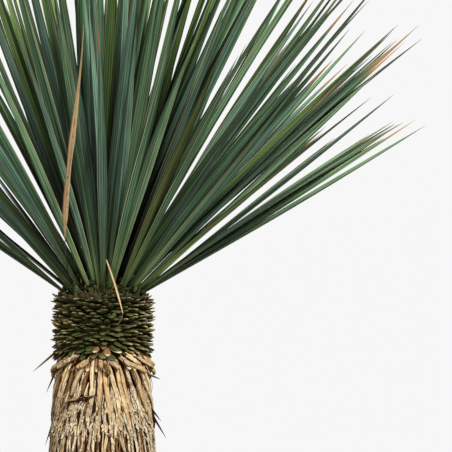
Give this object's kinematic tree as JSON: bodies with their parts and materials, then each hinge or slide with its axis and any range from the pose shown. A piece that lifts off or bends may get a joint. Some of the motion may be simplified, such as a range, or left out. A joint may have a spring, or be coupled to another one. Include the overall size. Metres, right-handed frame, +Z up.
{
  "type": "potted beaked yucca",
  "caption": "Beaked yucca with a fan of stiff blue-green leaves on a husk-covered trunk, in a plain clay pot.",
  "frame": {"origin": "centre of the pot's flat underside", "axes": "+Z up along the trunk, -Y towards the front that the picture shows, +X to the right seen from the front"},
  "size_m": [0.8718, 0.8718, 1.3322],
  "materials": {
    "clay": "matte",
    "soil": "matte",
    "trunk_wood": "matte",
    "dry_husk": "matte",
    "green_husk": "matte",
    "leaf": "satin"
  },
  "bodies": {
    "root": {"pot": "clay", "soil": "soil", "trunk": "trunk_wood", "dry_leaf_bases": "dry_husk", "green_leaf_bases": "green_husk", "outer_leaves_1": "leaf", "outer_leaves_2": "leaf", "outer_leaves_3": "leaf", "outer_leaves_4": "leaf", "outer_leaves_5": "leaf", "outer_leaves_6": "leaf", "outer_leaves_7": "leaf", "outer_leaves_8": "leaf", "second_leaves_1": "leaf", "second_leaves_2": "leaf", "second_leaves_3": "leaf", "second_leaves_4": "leaf", "second_leaves_5": "leaf", "second_leaves_6": "leaf", "second_leaves_7": "leaf", "second_leaves_8": "leaf", "third_leaves_1": "leaf", "third_leaves_2": "leaf", "third_leaves_3": "leaf", "third_leaves_4": "leaf", "third_leaves_5": "leaf", "third_leaves_6": "leaf", "inner_leaves_1": "leaf", "inner_leaves_2": "leaf", "inner_leaves_3": "leaf", "inner_leaves_4": "leaf", "spear_leaves": "leaf"}
  },
  "joints": []
}
